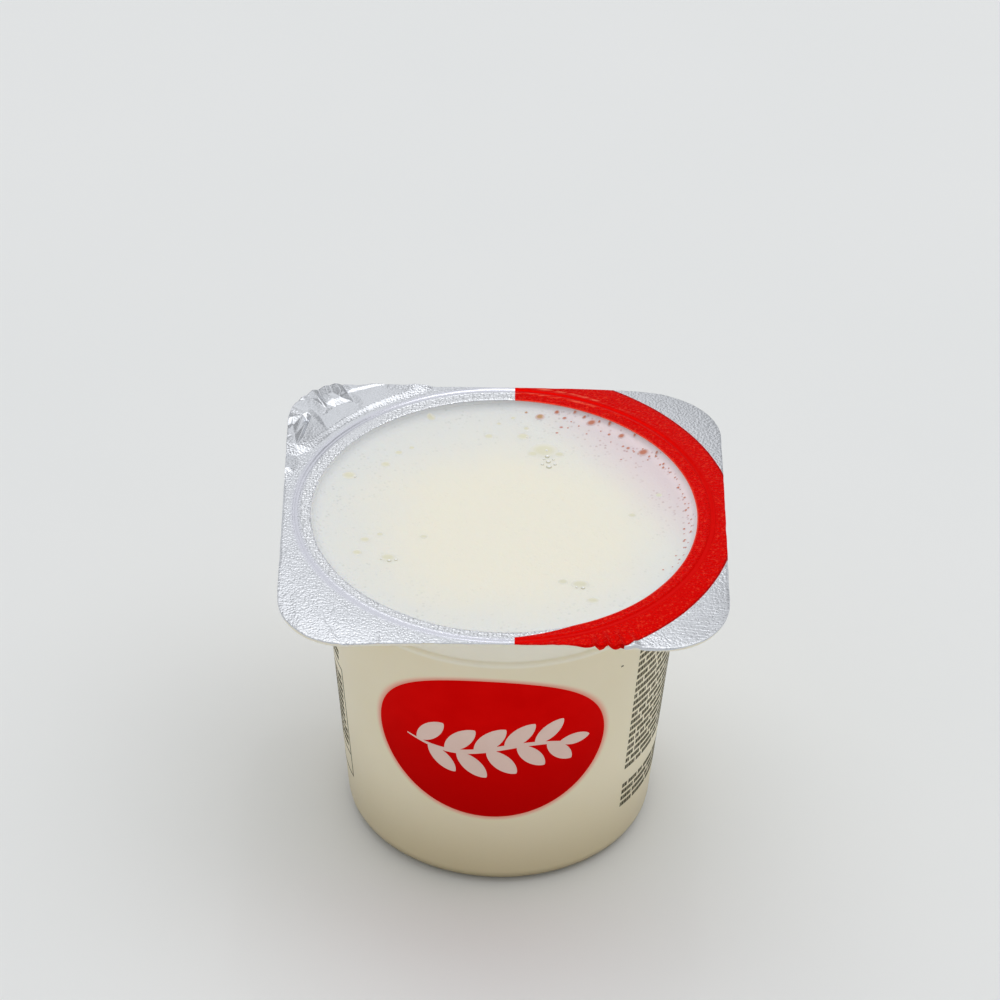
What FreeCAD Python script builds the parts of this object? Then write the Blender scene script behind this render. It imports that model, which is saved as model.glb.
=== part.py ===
import FreeCAD, Part
import math
import os

from FreeCAD import Vector

# A small thermoformed cup of ayran with a heat-sealed foil whose middle has
# been cut out. Millimetres, +Z up. The origin is the middle of the base, on
# the surface that the cup stands on. +X runs along the flange's longer side
# and -Y is the cup's front.

# ---- driving dimensions ---------------------------------------------------

# Cup: a tapered body, a small ledge round its neck, and a funnel collar above.
cup_height = 63.5            # standing face to the flange's sealing face
mouth_radius = 34.3          # inner edge of the flange
wall = 0.5                   # base, body and collar
draft_angle = 5.05           # slope of the body wall, degrees
neck_depth = 9.5             # from the sealing face down to the neck ledge
neck_inset = 2.53            # body's inner wall at the neck, inside the mouth
ledge_width = 0.6            # how far the ledge steps in
ledge_rise = 0.5
ledge_edge_rounding = 0.6    # outer edge of the ledge
ledge_root_rounding = 0.2    # where the collar rises from it
base_rounding = 3.2          # outer edge of the base
mouth_rounding = 0.3
collar_root_rounding = 0.7   # where the collar meets the flange's underside

# Base: a standing ring round a raised middle panel.
standing_ring_width = 5.0
panel_rise = 1.1
panel_slope_width = 1.6

# Flange: a rounded rectangle round the mouth whose corners bend down.
flange_side_margin = 4.9     # from the mouth's edge to the sides, along X
flange_front_margin = 3.4    # from the mouth's edge to front and back, along Y
flange_corner_radius = 13.2
flange_thickness = 0.8
groove_offset = 2.6          # ring pressed in by the sealing tool, from the mouth
groove_width = 1.0
groove_depth = 0.2
bend_margin = 0.2            # the corners' bend begins this far past the groove
bend_radius = 62.0
bend_angle = 9.0             # degrees, reached out in the corners

# Foil: what is left of the lid, a frame round a circular opening.
foil_thickness = 0.12
foil_seat_gap = 0.05         # sealing lacquer between flange and foil
foil_overhang = 0.3          # past the flange on every side
opening_clearance = 0.1      # cut edge outside the mouth's edge
opening_shift = -0.35        # the cut is a little nearer the front
foil_outer_strips = 3        # facet rows between the groove and the edge
azimuth_step = 3.0           # degrees between facet columns

# The foil's back left corner is lifted and creased into radial pleats.
crumple_start = 108.0        # degrees from +X, anticlockwise
crumple_end = 164.0
crumple_step = 1.5           # finer facet columns there
crumple_lift = 0.9           # general rise at the outer edge
# Each pleat: azimuth, half width (both degrees), height at the outer edge.
pleats = (
    (119.0, 4.0, 0.5),
    (129.0, 4.5, 1.1),
    (139.0, 4.0, 0.8),
    (148.0, 5.0, 1.2),
    (157.0, 3.5, 0.6),
)

# Drink
fill_drop = 1.8              # sealing face down to the surface of the drink

# ---- worked-out sizes -----------------------------------------------------

draft = math.radians(draft_angle)
bend = math.radians(bend_angle)
neck_height = cup_height - neck_depth
inner_neck_radius = mouth_radius - neck_inset
inner_base_radius = inner_neck_radius - (neck_height - wall) * math.tan(draft)
ledge_top_radius = inner_neck_radius - ledge_width
ledge_top_height = neck_height + ledge_rise
collar_slope = (mouth_radius - ledge_top_radius) / (cup_height - ledge_top_height)
flange_underside = cup_height - flange_thickness
panel_edge_radius = inner_base_radius - standing_ring_width
flange_width = 2 * (mouth_radius + flange_side_margin)
flange_depth = 2 * (mouth_radius + flange_front_margin)
groove_radius = mouth_radius + groove_offset
groove_inner = groove_radius - groove_width / 2
groove_outer = groove_radius + groove_width / 2
bend_start_radius = groove_outer + bend_margin
opening_radius = mouth_radius + opening_clearance
fill_height = cup_height - fill_drop
# A circle that clears the flange's far corners.
blank_radius = math.hypot(flange_width, flange_depth) / 2


# ---- shared geometry ------------------------------------------------------

def profile_point(radius, height):
    return Vector(radius, 0, height)


def rounded_profile(points):
    """Closed wire in the XZ plane from (radius, height, rounding) points."""
    count = len(points)
    starts = []
    ends = []
    middles = []
    for index, (radius, height, rounding) in enumerate(points):
        corner = profile_point(radius, height)
        before = profile_point(*points[index - 1][:2]) - corner
        after = profile_point(*points[(index + 1) % count][:2]) - corner
        before.normalize()
        after.normalize()
        if rounding == 0:
            starts.append(corner)
            ends.append(corner)
            middles.append(None)
            continue
        half_angle = before.getAngle(after) / 2
        tangent = rounding / math.tan(half_angle)
        inward = before + after
        inward.normalize()
        reach = rounding / math.sin(half_angle) - rounding
        starts.append(corner + before * tangent)
        ends.append(corner + after * tangent)
        middles.append(corner + inward * reach)
    edges = []
    for index in range(count):
        if middles[index] is not None:
            arc = Part.Arc(starts[index], middles[index], ends[index])
            edges.append(arc.toShape())
        following = starts[(index + 1) % count]
        if ends[index].distanceToPoint(following) > 1e-6:
            edges.append(Part.LineSegment(ends[index], following).toShape())
    return Part.Wire(edges)


def revolved(points):
    face = Part.Face(rounded_profile(points))
    return face.revolve(Vector(0, 0, 0), Vector(0, 0, 1), 360)


def rounded_prism(width, depth, corner_radius, bottom, top):
    box = Part.makeBox(width, depth, top - bottom, Vector(-width / 2, -depth / 2, bottom))
    uprights = [edge for edge in box.Edges if abs(edge.tangentAt(edge.FirstParameter).z) > 0.9]
    return box.makeFillet(corner_radius, uprights)


def cavity_points(top_height):
    """Inside of the wall, from the middle of the floor to a height in the collar."""
    top_radius = mouth_radius - collar_slope * (cup_height - top_height)
    return [
        (0, wall + panel_rise, 0),
        (panel_edge_radius - panel_slope_width, wall + panel_rise, 0),
        (panel_edge_radius, wall, 0),
        (inner_base_radius, wall, base_rounding - wall),
        (inner_neck_radius, neck_height, ledge_edge_rounding - wall),
        (ledge_top_radius, ledge_top_height, ledge_root_rounding + wall),
        (top_radius, top_height, 0),
    ]


def outside_points():
    """Outside of the wall: the cavity's points, moved out by the wall."""
    inner = cavity_points(cup_height)
    directions = []
    for near, far in zip(inner, inner[1:]):
        angle = math.atan2(far[1] - near[1], far[0] - near[0])
        directions.append((math.cos(angle), math.sin(angle)))
    moved = [(0, panel_rise, 0)]
    for index in range(1, len(inner) - 1):
        radius, height, rounding = inner[index]
        before = directions[index - 1]
        after = directions[index]
        turn = before[0] * after[1] - before[1] * after[0]
        # Both neighbouring faces move along their normals, and meet again here.
        shift = wall / (1 + before[0] * after[0] + before[1] * after[1])
        radius += shift * (before[1] + after[1])
        height -= shift * (before[0] + after[0])
        if rounding:
            rounding += math.copysign(wall, turn)
        moved.append((radius, height, rounding))
    top_radius = mouth_radius - collar_slope * flange_thickness
    top_radius += wall * math.hypot(1, collar_slope)
    moved.append((top_radius, flange_underside, collar_root_rounding))
    return moved


def flange_points(depth_below):
    """Flange face at depth_below under the sealing face, from the bend out."""
    face_bend_radius = bend_radius - depth_below
    corner = bend_start_radius + face_bend_radius * math.tan(bend / 2)
    drop = (blank_radius - corner) * math.tan(bend)
    height = cup_height - depth_below
    return [(corner, height, face_bend_radius), (blank_radius, height - drop, 0)]


def bend_drop(radius):
    """How far the sealing face lies below its flat middle at this radius."""
    past = radius - bend_start_radius
    arc_run = bend_radius * math.sin(bend)
    if past <= 0:
        return 0.0
    if past <= arc_run:
        return bend_radius - math.sqrt(bend_radius ** 2 - past ** 2)
    arc_drop = bend_radius * (1 - math.cos(bend))
    return arc_drop + (past - arc_run) * math.tan(bend)


# ---- cup ------------------------------------------------------------------

def make_cup():
    under = flange_points(flange_thickness)
    sealing = flange_points(0)
    top = [
        (groove_outer, cup_height, 0),
        (groove_radius, cup_height - groove_depth, 0),
        (groove_inner, cup_height, 0),
    ]
    inside = cavity_points(cup_height)
    mouth = inside[-1]
    inside[-1] = (mouth[0], mouth[1], mouth_rounding)
    profile = outside_points() + under + sealing[::-1] + top + inside[::-1]
    blank = revolved(profile)
    outline = rounded_prism(
        flange_width, flange_depth, flange_corner_radius, -1, cup_height + 1
    )
    return blank.common(outline).Solids[0]


# ---- foil -----------------------------------------------------------------

def opening_edge(azimuth):
    """Radius of the foil's cut edge, seen from the cup's axis."""
    angle = math.radians(azimuth)
    across = opening_shift * math.cos(angle)
    along = opening_shift * math.sin(angle)
    return along + math.sqrt(opening_radius ** 2 - across ** 2)


def outline_edge(azimuth):
    """Radius of the foil's outer edge, a rounded rectangle."""
    angle = math.radians(azimuth)
    along_x = abs(math.cos(angle))
    along_y = abs(math.sin(angle))
    half_x = flange_width / 2 + foil_overhang
    half_y = flange_depth / 2 + foil_overhang
    corner = flange_corner_radius + foil_overhang
    centre_x = half_x - corner
    centre_y = half_y - corner
    if along_y * half_x <= along_x * centre_y:
        return half_x / along_x
    if along_x * half_y <= along_y * centre_x:
        return half_y / along_y
    toward = centre_x * along_x + centre_y * along_y
    aside = centre_x * along_y - centre_y * along_x
    return toward + math.sqrt(corner ** 2 - aside ** 2)


def crumple_height(azimuth, outward):
    """Rise of the creased corner; outward is 0 at the groove, 1 at the edge."""
    if not crumple_start < azimuth < crumple_end:
        return 0.0
    middle = (crumple_start + crumple_end) / 2
    half_span = (crumple_end - crumple_start) / 2
    swell = math.cos((azimuth - middle) / half_span * math.pi / 2)
    rise = crumple_lift * swell
    for pleat_azimuth, half_width, height in pleats:
        nearness = 1 - abs(azimuth - pleat_azimuth) / half_width
        rise += height * max(0.0, nearness)
    return rise * outward ** 1.5


def foil_columns():
    azimuths = []
    azimuth = 0.0
    while azimuth < 360:
        azimuths.append(azimuth)
        creased = crumple_start <= azimuth < crumple_end
        azimuth += crumple_step if creased else azimuth_step
    return azimuths


def foil_column(azimuth):
    """(radius, underside height) from the opening out to the edge."""
    seat = cup_height + foil_seat_gap
    column = [
        (opening_edge(azimuth), seat),
        (groove_inner, seat),
        (groove_radius, seat - groove_depth),
        (groove_outer, seat),
    ]
    edge = outline_edge(azimuth)
    for strip in range(1, foil_outer_strips + 1):
        outward = strip / foil_outer_strips
        radius = groove_outer + (edge - groove_outer) * outward
        rise = crumple_height(azimuth, outward)
        column.append((radius, seat - bend_drop(radius) + rise))
    return column


def add_strip(faces, near, far):
    """Triangles between two closed rows of points."""
    count = len(near)
    for index in range(count):
        after = (index + 1) % count
        for triple in (
            (near[index], near[after], far[after]),
            (near[index], far[after], far[index]),
        ):
            wire = Part.makePolygon(list(triple) + [triple[0]])
            faces.append(Part.Face(wire))


def make_foil():
    azimuths = foil_columns()
    columns = [foil_column(azimuth) for azimuth in azimuths]
    lift = Vector(0, 0, foil_thickness)
    rings = []
    for row in range(len(columns[0])):
        ring = []
        for azimuth, column in zip(azimuths, columns):
            radius, height = column[row]
            angle = math.radians(azimuth)
            ring.append(Vector(radius * math.cos(angle), radius * math.sin(angle), height))
        rings.append(ring)
    raised = [[point + lift for point in ring] for ring in rings]
    faces = []
    for inner, outer in zip(rings, rings[1:]):
        add_strip(faces, inner, outer)
    for inner, outer in zip(raised, raised[1:]):
        add_strip(faces, outer, inner)
    add_strip(faces, raised[0], rings[0])
    add_strip(faces, rings[-1], raised[-1])
    solid = Part.makeSolid(Part.makeShell(faces))
    if solid.Volume < 0:
        solid.reverse()
    return solid


# ---- drink ----------------------------------------------------------------

def make_drink():
    profile = cavity_points(fill_height)
    profile.append((0, fill_height, 0))
    return revolved(profile)


# ---- export ---------------------------------------------------------------

nodes = {
    "cup": make_cup(),
    "foil_lid": make_foil(),
    "ayran": make_drink(),
}

os.makedirs("parts", exist_ok=True)
for name, shape in nodes.items():
    box = shape.BoundBox
    print(name, shape.ShapeType, len(shape.Solids), "valid", shape.isValid(),
          "cm3 %.2f" % (shape.Volume / 1000),
          "x %.2f %.2f y %.2f %.2f z %.2f %.2f" % (
              box.XMin, box.XMax, box.YMin, box.YMax, box.ZMin, box.ZMax))
    shape.exportStep("parts/" + name + ".step")
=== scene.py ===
import math
import random
from functools import partial

import bmesh
import bpy
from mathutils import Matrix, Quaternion, Vector, geometry, noise


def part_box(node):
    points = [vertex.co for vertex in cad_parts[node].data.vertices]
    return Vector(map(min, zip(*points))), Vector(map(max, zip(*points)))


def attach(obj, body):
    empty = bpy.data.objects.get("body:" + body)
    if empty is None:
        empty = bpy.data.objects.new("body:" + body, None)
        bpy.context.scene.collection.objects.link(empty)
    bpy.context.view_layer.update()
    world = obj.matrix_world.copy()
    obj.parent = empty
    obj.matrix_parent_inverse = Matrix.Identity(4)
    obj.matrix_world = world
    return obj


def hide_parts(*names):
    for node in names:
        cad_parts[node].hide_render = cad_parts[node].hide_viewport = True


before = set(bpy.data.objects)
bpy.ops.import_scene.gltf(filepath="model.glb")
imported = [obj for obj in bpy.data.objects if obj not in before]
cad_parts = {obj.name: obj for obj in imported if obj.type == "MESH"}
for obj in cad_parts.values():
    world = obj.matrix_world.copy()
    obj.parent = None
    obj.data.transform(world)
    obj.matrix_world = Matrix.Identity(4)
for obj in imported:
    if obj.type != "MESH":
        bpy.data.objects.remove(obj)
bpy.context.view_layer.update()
bpy.ops.object.select_all(action="DESELECT")

# Lengths in this file are millimetres, turned to metres where a mesh is made.
# Azimuths round the cup are degrees from its front (-Y) towards +X.
MM = 0.001

# ---- sizes of the cup -----------------------------------------------------

cup_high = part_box("cup")[1]
rim_height = cup_high.z / MM
flange_half_x = cup_high.x / MM
flange_half_y = cup_high.y / MM
flange_corner = 13.2
flange_thickness = 0.8
mouth_radius = 34.3
wall = 0.5
draft = math.radians(5.05)
neck_height = rim_height - 9.5
neck_radius = mouth_radius - 2.53       # inside of the wall
ledge_width = 0.6
ledge_height = neck_height + 0.5
base_radius = neck_radius - (neck_height - wall) * math.tan(draft)
base_rounding = 3.2
panel_rise = 1.1
panel_radius = base_radius - 5.0
panel_slope = 1.6
groove_inner = 36.4
groove_outer = 37.4
bend_start = 37.6                       # the flange's corners bend down past here
bend_radius = 62.0
bend_angle = math.radians(9.0)
fill_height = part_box("ayran")[1].z / MM
# The collar flares by this much for each millimetre of height.
collar_slope = (mouth_radius - neck_radius + ledge_width) / (rim_height - ledge_height)

# ---- sizes of the foil ----------------------------------------------------

foil_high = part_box("foil_lid")[1]
foil_half_x = foil_high.x / MM
foil_half_y = foil_high.y / MM
foil_limit = foil_high.z / MM
foil_corner = flange_corner + 0.3
foil_inset = 0.06                       # its edge stays this far inside the solid's
foil_thickness = 0.12
foil_face = rim_height + 0.05 + foil_thickness
opening_radius = 34.4
opening_shift = -0.35
seal_edge = groove_inner - 0.2

# ---- sizes of the print ---------------------------------------------------

badge_azimuth = -3.75
badge_height = 33.7
badge_half_arc = 21.6
badge_half_height = 16.6
ink_depth = 0.06                        # how far a film sinks into the wall
crescent_radius = 44.9                  # the red field on the foil
print_way = (0.85, 0.53, 0.0)           # from the axis towards the red field


# ---- small helpers --------------------------------------------------------

# Sockets of a colour Mix node, and settings that many nodes share.
SHARE, UNDER, OVER = 0, 6, 7
COLOURS = {"data_type": "RGBA"}
SMOOTH = {"interpolation_type": "SMOOTHSTEP"}


def linear(hex_colour):
    """sRGB hex to the linear colour that Blender works in."""
    channels = []
    for start in (0, 2, 4):
        value = int(hex_colour[start:start + 2], 16) / 255
        if value <= 0.04045:
            channels.append(value / 12.92)
        else:
            channels.append(((value + 0.055) / 1.055) ** 2.4)
    return (*channels, 1.0)


def set_inputs(node, inputs):
    """A node or a socket is linked, a hex colour made linear, any other is set."""
    for name, value in inputs.items():
        if isinstance(value, bpy.types.Node):
            value = next(socket for socket in value.outputs if socket.enabled)
        if isinstance(value, bpy.types.NodeSocket):
            node.id_data.links.new(value, node.inputs[name])
        else:
            if isinstance(value, str):
                value = linear(value)
            node.inputs[name].default_value = value


def add_node(tree, kind, inputs=None, **settings):
    """Add a shader node with its settings and its inputs."""
    made = tree.nodes.new("ShaderNode" + kind)
    for name, value in settings.items():
        setattr(made, name, value)
    set_inputs(made, inputs or {})
    return made


def new_material(name, settings):
    """A material, its shader with its even values set, and add_node for it."""
    material = bpy.data.materials.new(name)
    material.use_nodes = True
    shader = material.node_tree.nodes["Principled BSDF"]
    set_inputs(shader, settings)
    return material, shader, partial(add_node, material.node_tree)


def object_places(add):
    """Object coordinates, the same without the height, and their three parts."""
    place = add("TexCoord").outputs["Object"]
    parts = add("SeparateXYZ", {"Vector": place}).outputs
    return place, add("CombineXYZ", {0: parts["X"], 1: parts["Y"]}), parts


def smooth_step(low, high, value):
    share = min(1.0, max(0.0, (value - low) / (high - low)))
    return share * share * (3 - 2 * share)


def on_circle(azimuth, radius):
    """The point at an azimuth in degrees."""
    angle = math.radians(azimuth)
    return radius * math.sin(angle), -radius * math.cos(angle)


def deselect_all():
    bpy.ops.object.select_all(action="DESELECT")


def edit(select="VERT"):
    """Edit mode, with all of the active piece selected."""
    bpy.ops.object.mode_set(mode="EDIT")
    bpy.ops.mesh.select_mode(type=select)
    bpy.ops.mesh.select_all(action="SELECT")


def close_up(cap=True):
    """Fill the last ring, turn the faces outwards and leave edit mode."""
    if cap:
        bpy.ops.mesh.edge_face_add()
    bpy.ops.mesh.select_all(action="SELECT")
    bpy.ops.mesh.normals_make_consistent(inside=False)
    bpy.ops.object.mode_set(mode="OBJECT")


def finish_piece(piece, material, angle=60):
    bpy.context.view_layer.objects.active = piece
    piece.select_set(True)
    bpy.ops.object.shade_smooth_by_angle(angle=math.radians(angle))
    piece.data.materials.clear()
    piece.data.materials.append(material)
    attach(piece, "root")
    deselect_all()


def give_thickness(piece, thickness):
    """Thicken a sheet behind its face."""
    bpy.context.view_layer.objects.active = piece
    sheet = piece.modifiers.new("thickness", "SOLIDIFY")
    sheet.thickness = thickness * MM
    sheet.offset = -1
    bpy.ops.object.modifier_apply(modifier="thickness")


# ---- ring modelling -------------------------------------------------------

def start_rings(name, segments, place, filled):
    """A circle whose points are set by place(azimuth) -> (radius, height)."""
    deselect_all()
    bpy.ops.mesh.primitive_circle_add(vertices=segments, radius=0.03,
                                      fill_type="NGON" if filled else "NOTHING")
    piece = bpy.context.object
    piece.name = name
    edit()
    place_ring(piece, place)
    if filled:
        bpy.ops.mesh.select_mode(type="EDGE")
    return piece


def place_ring(piece, place):
    """Set the selected ring's points by place(azimuth)."""
    shape = bmesh.from_edit_mesh(piece.data)
    for vert in shape.verts:
        if vert.select:
            angle = math.atan2(vert.co.x, -vert.co.y)
            radius, height = place(math.degrees(angle))
            vert.co = (radius * math.sin(angle) * MM, -radius * math.cos(angle) * MM,
                       height * MM)
    bmesh.update_edit_mesh(piece.data)


def pull_ring(piece, place):
    """Extrude the selected ring and set the new one's points."""
    bpy.ops.mesh.extrude_edges_move()
    place_ring(piece, place)


def level(radius, height):
    return lambda azimuth: (radius, height)


def rounded(points, steps=5):
    """(radius, height, rounding) corners to a smooth run of (radius, height)."""
    run = []
    for index, (radius, height, rounding) in enumerate(points):
        corner = Vector((radius, height))
        if rounding == 0 or index in (0, len(points) - 1):
            run.append((radius, height))
            continue
        before = (Vector(points[index - 1][:2]) - corner).normalized()
        after = (Vector(points[index + 1][:2]) - corner).normalized()
        half = before.angle(after) / 2
        centre = corner + (before + after).normalized() * rounding / math.sin(half)
        start = corner + before * rounding / math.tan(half) - centre
        end = corner + after * rounding / math.tan(half) - centre
        for step in range(steps + 1):
            spoke = start.lerp(end, step / steps).normalized() * rounding
            run.append((centre.x + spoke.x, centre.y + spoke.y))
    return run


def outline_radius(azimuth, half_x, half_y, corner):
    """Distance from the axis to the edge of a rounded rectangle."""
    along_x = abs(math.sin(math.radians(azimuth)))
    along_y = abs(math.cos(math.radians(azimuth)))
    centre_x = half_x - corner
    centre_y = half_y - corner
    if along_y * half_x <= along_x * centre_y:
        return half_x / along_x
    if along_x * half_y <= along_y * centre_x:
        return half_y / along_y
    toward = centre_x * along_x + centre_y * along_y
    aside = centre_x * along_y - centre_y * along_x
    return toward + math.sqrt(corner ** 2 - aside ** 2)


def bend_drop(radius):
    """How far the flange has bent down at this radius."""
    past = max(0.0, radius - bend_start)
    arc_run = bend_radius * math.sin(bend_angle)
    if past <= arc_run:
        return bend_radius - math.sqrt(bend_radius ** 2 - past ** 2)
    arc_drop = bend_radius * (1 - math.cos(bend_angle))
    return arc_drop + (past - arc_run) * math.tan(bend_angle)


# ---- materials ------------------------------------------------------------

# Thermoformed polystyrene, filled milky white: an even satin skin, through
# which the drink behind it shows as a warm cream, with very faint mottling.
def make_polystyrene():
    material, shader, add = new_material("milky polystyrene, thermoformed satin", {
        "Roughness": 0.34, "IOR": 1.59, "Subsurface Weight": 0.12,
        "Subsurface Radius": (1.0, 0.7, 0.4), "Subsurface Scale": 0.0015})
    place, flat, (x, y, z) = object_places(add)
    # Clouding of the wall, about 12 mm across.
    cloud = add("TexNoise", {"Vector": place, "Scale": 1 / (12 * MM), "Detail": 2.0})
    cream = add("Mix", {SHARE: cloud, UNDER: "F1E4C3", OVER: "F4E8CB"}, **COLOURS)
    # Painted shade: towards its foot less light comes in from above, so the cream is painted
    # deeper there.
    foot = add("MapRange", {"Value": z, "From Min": -6 * MM, "From Max": 26 * MM,
                            "To Min": 1.0, "To Max": 0.0}, **SMOOTH)
    foot_shaded = add("Mix", {SHARE: foot, UNDER: cream, OVER: "C4B48E"}, **COLOURS)
    # Painted shade: its rounded foot turns away from the light, down to the shade on the floor,
    # and is painted dark warm brown there.
    underside_shade = add("MapRange", {"Value": z, "From Min": 0.6 * MM, "From Max": 3.4 * MM,
                                  "To Min": 0.75, "To Max": 0.0}, **SMOOTH)
    contact_shaded = add("Mix", {SHARE: underside_shade, UNDER: foot_shaded, OVER: "86764A"}, **COLOURS)
    # Painted light: a painted highlight along the ledge round the neck, and the collar
    # above it painted paler.
    from_ledge = add("Math", {0: z, 1: (neck_height + 0.1) * MM}, operation="SUBTRACT")
    ledge_away = add("Math", {0: from_ledge}, operation="ABSOLUTE")
    ledge_highlight = add("MapRange", {
        "Value": ledge_away, "From Min": 0.25 * MM, "From Max": 0.8 * MM,
        "To Min": 0.6, "To Max": 0.0}, **SMOOTH)
    collar_painted_light = add("MapRange", {
        "Value": z, "From Min": (neck_height - 0.1) * MM,
        "From Max": (neck_height + 1.0) * MM, "To Max": 0.75}, **SMOOTH)
    painted_light_share = add("Math", {0: ledge_highlight, 1: collar_painted_light}, operation="MAXIMUM")
    neck_painted_light = add("Mix", {SHARE: painted_light_share, UNDER: contact_shaded, OVER: "FBF6E6"}, **COLOURS)
    # The bare inside of the wall above the drink is a cool milky white.
    radius = add("VectorMath", {0: flat}, operation="LENGTH")
    collar_foot = (mouth_radius + 0.25 - collar_slope * rim_height) * MM
    collar = add("Math", {0: z, 1: collar_slope, 2: collar_foot},
                 operation="MULTIPLY_ADD")
    inner_side = add("Math", {0: radius, 1: collar}, operation="LESS_THAN")
    high = add("Math", {0: z, 1: (fill_height - 1) * MM}, operation="GREATER_THAN")
    bare = add("Math", {0: inner_side, 1: high}, operation="MULTIPLY")
    # Painted light: a pink cast from the red print above it, at the right and behind.
    sideways = add("VectorMath", {0: flat, 1: print_way}, operation="DOT_PRODUCT")
    cast = add("MapRange", {"Value": sideways, "From Min": 14 * MM,
                            "From Max": 32 * MM}, **SMOOTH)
    bare_and_pink_light = add("Mix", {SHARE: cast, UNDER: "E6E7E8", OVER: "F2DADB"}, **COLOURS)
    walls = add("Mix", {SHARE: bare, UNDER: neck_painted_light, OVER: bare_and_pink_light}, **COLOURS)
    # Painted glow: red ink shines sideways through the wall, painted as a pink glow
    # that fades out about 1.5 mm from the printed badge.
    forward = add("Math", {0: y, 1: -1.0}, operation="MULTIPLY")
    around = add("Math", {0: x, 1: forward}, operation="ARCTAN2")
    off_middle = add("Math", {0: around, 1: math.radians(badge_azimuth)},
                     operation="SUBTRACT")
    wide = add("Math", {0: off_middle, 1: badge_half_arc / wall_radius(badge_height)},
               operation="DIVIDE")
    raised = add("Math", {0: z, 1: badge_height * MM}, operation="SUBTRACT")
    tall = add("Math", {0: raised, 1: badge_half_height * MM}, operation="DIVIDE")
    badge_place = add("CombineXYZ", {0: wide, 1: tall})
    reach = add("VectorMath", {0: badge_place}, operation="LENGTH")
    glow = add("MapRange", {"Value": reach, "From Min": 0.99, "From Max": 1.075,
                            "To Min": 0.9, "To Max": 0.0},
               interpolation_type="SMOOTHERSTEP")
    front = add("Math", {0: y, 1: 0.0}, operation="LESS_THAN")
    glow_front = add("Math", {0: glow, 1: front}, operation="MULTIPLY")
    glow_painted = add("Mix", {SHARE: glow_front, UNDER: walls, OVER: "F09078"}, **COLOURS)
    # The skin is slightly uneven from forming, a few hundredths of a millimetre.
    ripple = add("TexNoise", {"Vector": place, "Scale": 1 / (5 * MM), "Detail": 1.0})
    skin = add("Bump", {"Strength": 0.25, "Distance": 0.06 * MM, "Height": ripple})
    set_inputs(shader, {"Base Color": glow_painted, "Normal": skin})
    return material


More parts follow.
